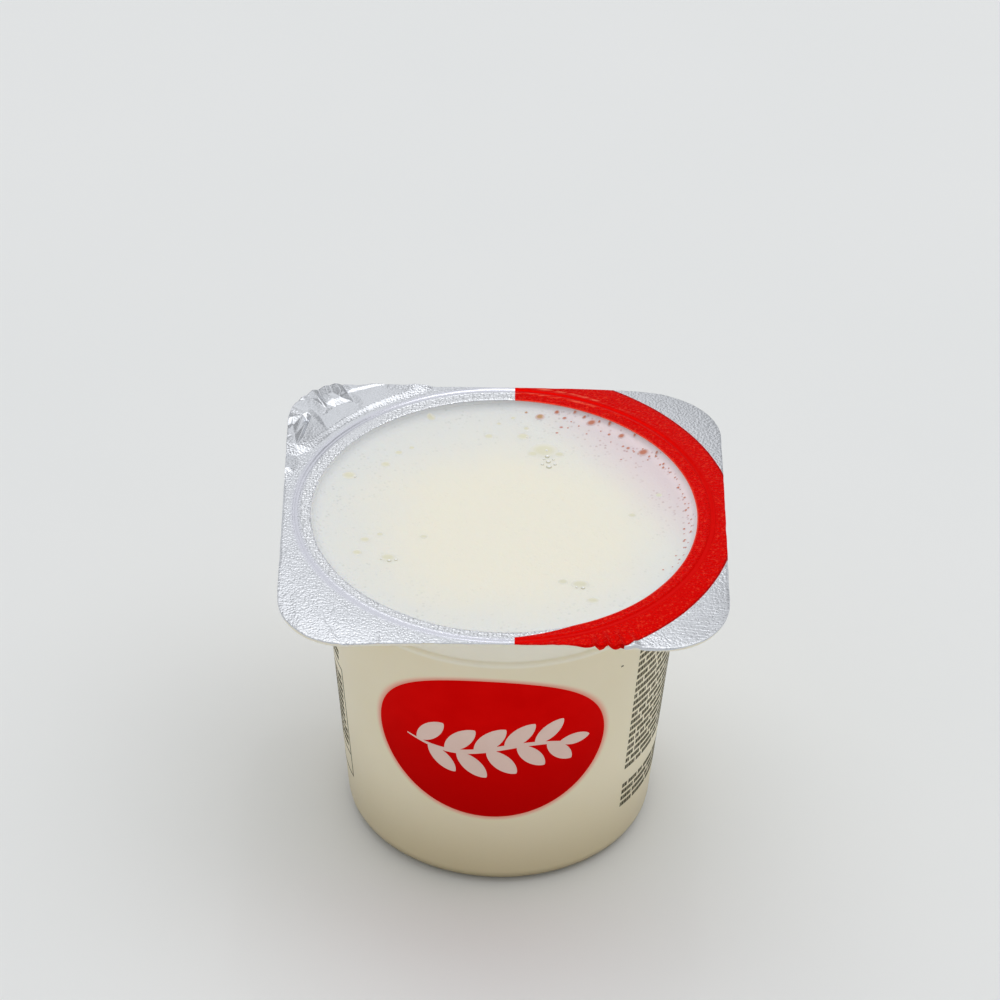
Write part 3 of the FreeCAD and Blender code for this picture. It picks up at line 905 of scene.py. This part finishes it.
# The froth creeps up the wall: distance from the wall at fill level, and lift.
creep = ((1.6, 0.06), (1.2, 0.15), (0.85, 0.28), (0.5, 0.45), (0.2, 0.66),
         (-0.05, 0.90), (-0.25, 1.12), (-0.45, 1.30))


def print_side(x, y):
    """How far round towards the red print a point lies, 0 to 1."""
    return smooth_step(10, 30, print_way[0] * x + print_way[1] * y)


def creep_lift(away):
    if away >= 3.0:
        return 0.0
    run = ((3.0, 0.0), *creep)
    for (far, low), (near, high) in zip(run, run[1:]):
        if away >= near:
            return low + (high - low) * (far - away) / (far - near)
    return creep[-1][1]


def drink_surface(x, y):
    """Height of the drink's surface, with soft swells of the froth."""
    spot = Vector((x, y, 0))
    swell = noise.noise(spot / 7) + 0.5 * noise.noise(spot / 2.2)
    away = wall_at_fill - math.hypot(x, y)
    # It lies in a wider and higher bank against the right and back wall.
    bank = print_side(x, y)
    if away > 0:
        away /= 1 + 1.1 * bank
    return fill_height - 0.10 + 0.06 * swell + creep_lift(away) * (1 + 0.25 * bank)


def drink_ring(radius):
    def place(azimuth):
        x, y = on_circle(azimuth, radius)
        # A higher bank meets the flared wall further out.
        further = 0.25 * print_side(x, y) * creep_lift(wall_at_fill - radius) * collar_slope
        return radius + further, drink_surface(x, y)
    return place


def make_drink(material):
    reach = 0.1                     # it goes this far into the wall
    piece = start_rings("ayran_froth", 360, drink_ring(0.5), True)
    radius = 1.0
    while radius < wall_at_fill - 1.9:
        pull_ring(piece, drink_ring(radius))
        radius += 0.6
    for away, _ in creep:
        pull_ring(piece, drink_ring(wall_at_fill - away))
    pull_ring(piece, level(wall_at_fill + reach, fill_height - 0.3))
    for point_radius, point_height in rounded(inside_points())[::-1]:
        if point_height < fill_height - 1.0 and point_radius > 4:
            pull_ring(piece, level(point_radius + reach, point_height - reach))
    close_up()
    finish_piece(piece, material)
    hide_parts("ayran")


# Bubbles in the froth: x, y, width, stretch and height of each.
cream_bubbles = (
    (7.2, 21.3, 5.6, 0.8, 0.16), (5.2, 20.2, 2.2, 0.8, 0.14), (10.0, 20.2, 2.0, 0.8, 0.14),
    (3.4, 25.5, 2.3, 0.9, 0.18), (-2.8, 25.4, 1.7, 0.9, 0.12), (-13.4, 30.4, 1.8, 0.7, 0.12),
    (-27.9, 12.8, 2.6, 0.9, 0.18), (-21.4, 16.3, 1.9, 0.9, 0.12),
    (-19.1, 20.0, 1.5, 0.9, 0.12), (-24.6, -6.2, 2.0, 0.8, 0.12),
    (-25.9, -10.0, 1.9, 0.8, 0.12), (-20.4, -11.4, 2.9, 0.85, 0.2),
    (-14.2, -5.1, 1.5, 0.8, 0.1), (13.4, -18.3, 3.4, 0.75, 0.2),
    (10.4, -17.6, 2.0, 0.8, 0.12), (15.6, -22.8, 2.4, 0.7, 0.14), (27.8, 8.2, 1.3, 0.9, 0.14),
    (22.9, 2.1, 1.6, 0.8, 0.1), (-22.0, -4.6, 1.3, 0.9, 0.1), (4.0, 28.0, 1.1, 0.9, 0.1),
    (1.6, 31.2, 1.0, 0.8, 0.1), (-1.0, 29.4, 0.9, 0.9, 0.1), (-16.8, 21.6, 1.1, 0.9, 0.1),
)
# Their white middles are painted highlights, their darker rims painted shade.
clear_bubbles_painted_glint = (
    (7.7, 21.2, 0.8, 0.9, 0.3), (7.8, 19.4, 0.95, 0.9, 0.36), (8.0, 17.8, 0.9, 1.0, 0.34),
    (8.1, 16.2, 1.1, 0.8, 0.36), (6.9, 17.0, 0.6, 1.0, 0.22), (9.2, 17.0, 0.6, 1.0, 0.22),
    (7.2, 18.6, 0.5, 1.0, 0.2), (8.9, 18.5, 0.5, 1.0, 0.2), (-20.2, -12.3, 0.9, 0.8, 0.3),
    (-19.0, -12.0, 0.6, 1.0, 0.22), (-21.6, -11.8, 0.5, 1.0, 0.2), (13.9, -19.4, 0.8, 0.8, 0.3),
    (12.8, -19.2, 0.5, 1.0, 0.2), (4.1, 25.2, 0.5, 1.0, 0.2), (-26.9, 12.4, 0.5, 1.0, 0.2),
)
# Their colour is a painted reflection of the red print above them.
red_reflection_bubbles = (
    (6.5, 31.3, 1.9, 0.75, 0.15), (9.6, 32.0, 1.1, 0.7, 0.12), (11.0, 30.7, 1.0, 0.6, 0.12),
    (10.4, 28.5, 0.8, 0.8, 0.10), (9.6, 26.8, 0.7, 0.7, 0.10), (11.6, 28.3, 0.5, 0.8, 0.10),
    (15.9, 29.0, 2.1, 0.62, 0.16), (14.6, 30.3, 0.9, 0.6, 0.12), (19.2, 28.0, 0.8, 1.0, 0.12),
    (19.1, 25.9, 0.7, 0.9, 0.10), (21.3, 25.1, 1.5, 0.75, 0.15), (21.6, 22.6, 0.7, 0.8, 0.10),
    (22.5, 22.0, 0.9, 0.9, 0.10), (25.2, 20.4, 2.3, 0.75, 0.16), (19.4, 24.0, 0.4, 0.8, 0.10),
    (27.6, 19.5, 0.6, 1.0, 0.10), (15.0, 26.5, 0.5, 0.6, 0.10), (12.9, 31.4, 0.8, 0.6, 0.12),
    (17.3, 28.9, 0.6, 0.8, 0.10), (23.7, 24.4, 0.6, 1.0, 0.10), (21.2, 18.8, 0.5, 0.8, 0.10),
    (4.0, 32.4, 0.7, 0.7, 0.10), (13.6, 28.6, 0.45, 0.9, 0.10), (17.6, 26.9, 0.4, 0.9, 0.10),
    (12.2, 29.8, 0.4, 0.8, 0.10), (23.4, 21.2, 0.4, 0.9, 0.10), (26.0, 18.4, 0.45, 0.9, 0.10),
)


def beads_by_wall():
    """Tiny bubbles in a loose row under the print, along the right of the wall."""
    chance = random.Random(11)
    beads = []
    for step in range(46):
        azimuth = 64 + 68 * step / 45 + chance.uniform(-2, 2)
        x, y = on_circle(azimuth, 33.4 - abs(chance.gauss(0, 1.0)))
        beads.append((x, y, chance.uniform(0.3, 0.6), chance.uniform(0.6, 1.3), 0.10))
    return beads


def make_bubbles(name, spots, fullness, material):
    """Low domes, their feet just under the surface, joined to one piece."""
    shape = bmesh.new()
    dome_map = shape.loops.layers.uv.new("dome")
    bpy.ops.mesh.primitive_uv_sphere_add(segments=24, ring_count=12, radius=0.5)
    pattern = bpy.context.object
    edit()
    bpy.ops.mesh.bisect(plane_co=(0, 0, 0), plane_no=(0, 0, 1), clear_inner=True,
                        use_fill=True)
    bpy.ops.object.mode_set(mode="OBJECT")
    for x, y, width, stretch, height in spots:
        first = len(shape.verts)
        shape.from_mesh(pattern.data)
        shape.verts.ensure_lookup_table()
        for vert in shape.verts[first:]:
            away = min(1.0, math.hypot(vert.co.x, vert.co.y) * 2)
            bulge = height * (1 - away ** fullness)
            for loop in vert.link_loops:
                loop[dome_map].uv = (away, 0.5)
            along = x + vert.co.x * width
            across = y + vert.co.y * width * stretch
            vert.co = (along * MM, across * MM,
                       (drink_surface(along, across) - 0.02 + bulge) * MM)
    mesh = bpy.data.meshes.new(name)
    shape.to_mesh(mesh)
    shape.free()
    bpy.data.objects.remove(pattern)
    piece = bpy.data.objects.new(name, mesh)
    bpy.context.collection.objects.link(piece)
    finish_piece(piece, material)


# ---- print on the body ----------------------------------------------------

def wrap_on_wall(piece, azimuth):
    """Roll a flat piece (x along, z up, y proud of the wall) on to the body."""
    for vert in piece.data.vertices:
        height = vert.co.z / MM
        proud = -vert.co.y / MM
        radius = wall_radius(height) + proud
        angle = math.radians(azimuth) + vert.co.x / MM / wall_radius(badge_height)
        vert.co.x = radius * math.sin(angle) * MM
        vert.co.y = -radius * math.cos(angle) * MM


def make_film(piece, proud):
    """Give a flat shape the ink's thickness and lay it on the body."""
    for vert in piece.data.vertices:
        vert.co.y = -proud * MM
    give_thickness(piece, proud + ink_depth)
    wrap_on_wall(piece, badge_azimuth)


def face_front(piece):
    """Turn a flat piece's faces to the front."""
    if sum(face.normal.y * face.area for face in piece.data.polygons) > 0:
        piece.data.flip_normals()


def flat_rings(name, segments, rings, outline):
    """A filled flat shape made of rings that shrink to its middle."""
    deselect_all()
    bpy.ops.mesh.primitive_circle_add(vertices=segments, radius=1.0, fill_type="NOTHING",
                                      rotation=(math.pi / 2, 0, 0))
    piece = bpy.context.object
    piece.name = name
    bpy.ops.object.transform_apply(location=False, rotation=True, scale=False)
    for vert in piece.data.vertices:
        along, up = outline(math.atan2(vert.co.z, vert.co.x))
        vert.co = (along * MM, 0, up * MM)
    edit("EDGE")
    for ring in range(1, rings):
        bpy.ops.mesh.extrude_edges_move()
        keep = (rings - ring) / (rings - ring + 1)
        bpy.ops.transform.resize(value=(keep, 1, keep), center_override=(0, 0, 0))
    close_up()
    face_front(piece)
    return piece


def shift_up(piece, along, up):
    for vert in piece.data.vertices:
        vert.co.x += along * MM
        vert.co.z += up * MM


def oval(half_width, half_height, pointed=0.0):
    """Outline of an oval; its ends are drawn to points as pointed goes up."""
    def outline(angle):
        height = half_height * math.sin(angle) * abs(math.sin(angle)) ** pointed
        return half_width * math.cos(angle), height
    return outline


def make_badge_field(ink):
    piece = flat_rings("badge_field", 160, 14, oval(badge_half_arc, badge_half_height))
    shift_up(piece, 0, badge_height)
    make_film(piece, 0.03)
    finish_piece(piece, ink)


def make_badge_motif(ink):
    """A sprig: a swaying stem, thin at both ends, with leaves along it."""
    sway = 1.3
    length = 31.0
    bpy.ops.mesh.primitive_grid_add(x_subdivisions=48, y_subdivisions=2, size=1.0,
                                    rotation=(math.pi / 2, 0, 0))
    stem = bpy.context.object
    bpy.ops.object.transform_apply(location=False, rotation=True, scale=False)
    for vert in stem.data.vertices:
        share = vert.co.x
        thick = 0.25 + 0.85 * math.cos(share * math.pi)
        middle = sway * math.sin(share * 2 * math.pi)
        vert.co = (share * length * MM, 0, (middle + vert.co.z * thick) * MM)
    shift_up(stem, 0, badge_height)
    face_front(stem)
    motifs = [stem]
    leaves = [(12.6, 0.0, 5.8)]         # root along the stem, lean and length of each
    for step in range(5):
        root = -13.5 + 5.4 * step
        leaves.append((root, 46.0, 8.2 - 0.45 * abs(step - 1.5)))
        leaves.append((root + 2.2, -46.0, 8.0 - 0.45 * abs(step - 1.5)))
    for root, lean, leaf in leaves:
        shape = flat_rings("leaf", 36, 4, oval(leaf / 2, leaf * 0.22, 0.45))
        slant = math.radians(lean)
        for vert in shape.data.vertices:
            along = vert.co.x + leaf * 0.5 * MM
            up = vert.co.z
            vert.co.x = along * math.cos(slant) - up * math.sin(slant)
            vert.co.z = along * math.sin(slant) + up * math.cos(slant)
        middle = sway * math.sin(root / length * 2 * math.pi)
        shift_up(shape, root, badge_height + middle)
        motifs.append(shape)
    for motif in motifs:
        make_film(motif, 0.05)
    deselect_all()
    for motif in motifs:
        motif.select_set(True)
    bpy.context.view_layer.objects.active = stem
    bpy.ops.object.join()
    stem.name = "badge_motif"
    finish_piece(stem, ink)


def model_stroke():
    """One printed stroke: a thin block 1 wide and 1 high, 0.02 mm proud."""
    bpy.ops.mesh.primitive_cube_add(size=1.0)
    stroke = bpy.context.object
    edit()
    bpy.ops.transform.resize(value=(1, 0.02 + ink_depth, 1), center_override=(0, 0, 0))
    bpy.ops.transform.translate(value=(0.5, (ink_depth - 0.02) / 2, 0.5))
    bpy.ops.object.mode_set(mode="OBJECT")
    return stroke


def stroke_words(chance, strokes, start, stop, top):
    """Plain even strokes in uneven clumps along a row."""
    low = top - 0.95
    gap = 0.12
    word_gap = 0.42
    along = start
    while along < stop - 0.6:
        for _ in range(chance.randint(2, 8)):
            width = chance.choice((0.35, 0.55, 0.75))
            if along + width > stop:
                break
            strokes.append((along, along + width, low, top))
            along += width + gap
        along += word_gap


def lay_strokes():
    """The left, right, low and high edge of each stroke of the small print."""
    chance = random.Random(5)
    strokes = []
    arc = math.radians(1) * wall_radius(badge_height)    # millimetres a degree
    top_row = 50.4
    row_pitch = 1.55
    # Right block: a paragraph of rows with a ragged end, four more below a gap.
    for first_top, count in ((top_row, 20), (16.3, 4)):
        for row in range(count):
            stop = (128 + chance.uniform(-8, 2)) * arc
            stroke_words(chance, strokes, 50.2 * arc, stop, first_top - row_pitch * row)
    # Left block: rows in a thin frame, with a blank cell at its foot.
    left, right = -138 * arc, -69 * arc
    low, high = 10.1, 35.5
    line = 0.3
    parts = 48                          # short enough to follow the round wall
    step = (right - left) / parts
    for height in (low, 15.2, high):
        for part in range(parts):
            strokes.append((left + part * step, left + (part + 1) * step,
                            height, height + line))
    for side in (left, right - line):
        strokes.append((side, side + line, low, high + line))
    top = top_row
    while top > 17.2:
        if top > 38.0 or top < 34.6:
            cut = chance.uniform(0, 6) if chance.random() < 0.3 else 0
            stroke_words(chance, strokes, left + 0.8 + cut, right - 0.7, top)
        top -= row_pitch
    # A speck above the badge's right end.
    strokes.append((41.4 * arc, 42.4 * arc, 47.5, 47.8))
    return strokes


def make_small_print(ink):
    """Rows of plain strokes where a real cup has its small print."""
    pattern = model_stroke()
    points = []
    faces = []
    for start, end, bottom, top in lay_strokes():
        first = len(points)
        for vert in pattern.data.vertices:
            points.append(((start + vert.co.x * (end - start)) * MM, vert.co.y * MM,
                           (bottom + vert.co.z * (top - bottom)) * MM))
        for face in pattern.data.polygons:
            faces.append([first + corner for corner in face.vertices])
    bpy.data.objects.remove(pattern)
    shape = bpy.data.meshes.new("small_print")
    shape.from_pydata(points, [], faces)
    piece = bpy.data.objects.new("small_print", shape)
    bpy.context.collection.objects.link(piece)
    wrap_on_wall(piece, 0)
    finish_piece(piece, ink, 30)


# ---- making ---------------------------------------------------------------

make_cup(make_polystyrene())
make_foil(make_foil_material())
make_drink(make_ayran_material())
make_bubbles("froth_bubbles", cream_bubbles, 2, make_bubble_material(
    "ayran bubble, cream", "E5E2C9", "E3E0C8", "ECEADF"))
# Clear bubbles: white painted highlights in their middles, painted shade at their rims.
make_bubbles("froth_bubbles_clear_painted_glint", clear_bubbles_painted_glint, 2, make_bubble_material(
    "ayran bubble, clear with painted glint", "FFFFFF", "FFFFFF", "CFCCB2"))
# Bubbles by the print, coloured as a painted reflection of the red foil.
make_bubbles("froth_bubbles_red_reflection", (*red_reflection_bubbles, *beads_by_wall()), 4,
             make_bubble_material("ayran bubble, painted red reflection", "C49C70", "C67C62", "E4D2D3"))
make_badge_field(make_ink("red flexo ink, soft gloss", "DE0100", "E60604", "BE0000", 6.0))
# The pale ink's pink tint is painted glow from the red badge around it.
make_badge_motif(make_ink("pale flexo ink, soft gloss, painted pink glow", "F0D4C8", "ECCDC0", "E6C8BC", 6.0))
make_small_print(make_ink("dark grey flexo ink", "5E5A49", "77725F", "5E5A49", 0.9))

# ---- floor, light and camera ----------------------------------------------

bpy.ops.mesh.primitive_plane_add(size=6.0, location=(0, 0, 0))
floor = bpy.context.object
floor.name = "studio_floor"
# Matt laminate table top, pale and even.
laminate, top_shader, add = new_material("matt laminate, pale", {
    "Roughness": 0.6, "Specular IOR Level": 0.2})
cloud = add("TexNoise", {"Vector": add("TexCoord").outputs["Object"],
                         "Scale": 1 / (90 * MM), "Detail": 2.0})
pale = add("Mix", {SHARE: cloud, UNDER: "E9EBEB", OVER: "EDEEEE"}, **COLOURS)
set_inputs(top_shader, {"Base Color": pale})
floor.data.materials.append(laminate)

# The room lights the cup evenly; what the camera sees of it is a pale backdrop.
world = bpy.data.worlds.new("studio")
bpy.context.scene.world = world
world.use_nodes = True
add = partial(add_node, world.node_tree)
rays = add("LightPath").outputs
# In reflections it is a ring of eight bright panels with dimmer gaps, under a
# darker ceiling, which gives the creased foil its lights and darks all round.
direction = add("TexCoord").outputs["Generated"]
east, north, up = add("SeparateXYZ", {"Vector": direction}).outputs
bearing = add("Math", {0: east, 1: north}, operation="ARCTAN2")
panels = add("Math", {0: bearing, 1: 8.0}, operation="MULTIPLY")
panel_wave = add("Math", {0: panels}, operation="COSINE")
panel_share = add("MapRange", {"Value": panel_wave, "From Min": -1.0, "To Min": 0.3})
walls_high = add("MapRange", {"Value": up, "From Min": 0.6, "From Max": 0.95,
                              "To Min": 1.0, "To Max": 0.42})
mirrored = add("Math", {0: panel_share, 1: walls_high}, operation="MULTIPLY")
by_gloss = add("Mix", {0: rays["Is Glossy Ray"], 2: 0.60, 3: mirrored},
               data_type="FLOAT")
by_camera = add("Mix", {0: rays["Is Camera Ray"], 2: by_gloss, 3: 0.8},
                data_type="FLOAT")
set_inputs(world.node_tree.nodes["Background"], {
    "Strength": by_camera, "Color": (0.98, 0.99, 1.0, 1.0)})


def add_lamp(place, target_height, shape, size, energy):
    """A lamp aimed at a point on the cup's axis; places here are metres."""
    bpy.ops.object.light_add(type="AREA", location=place)
    lamp = bpy.context.object
    aim = Vector((0, 0, target_height)) - lamp.location
    lamp.rotation_euler = aim.to_track_quat("-Z", "Y").to_euler()
    lamp.data.shape = shape
    lamp.data.size, lamp.data.size_y = size
    lamp.data.energy = energy


add_lamp((0.17, 0.27, 1.3), 0.03, "RECTANGLE", (2.2, 0.9), 7.9)
# A small lamp beside it gives the wet froth and the foil their sharp glints.
add_lamp((0.10, 0.42, 1.2), 0.06, "DISK", (0.07, 0.07), 0.22)

pitch = math.radians(36.734)
yaw = math.radians(0.481)
roll = Quaternion((0, 0, 1), math.radians(1.151))
forward = Vector((math.cos(pitch) * math.sin(yaw), math.cos(pitch) * math.cos(yaw),
                  -math.sin(pitch)))
turn = forward.to_track_quat("-Z", "Y") @ roll
bpy.ops.object.camera_add(location=(-6.74 * MM, -711.72 * MM, 597.31 * MM),
                          rotation=turn.to_euler())
camera = bpy.context.object
camera.data.lens = 180
camera.data.sensor_width = 36
camera.data.clip_start = 0.01
bpy.context.scene.camera = camera
bpy.context.scene.view_settings.view_transform = "Standard"
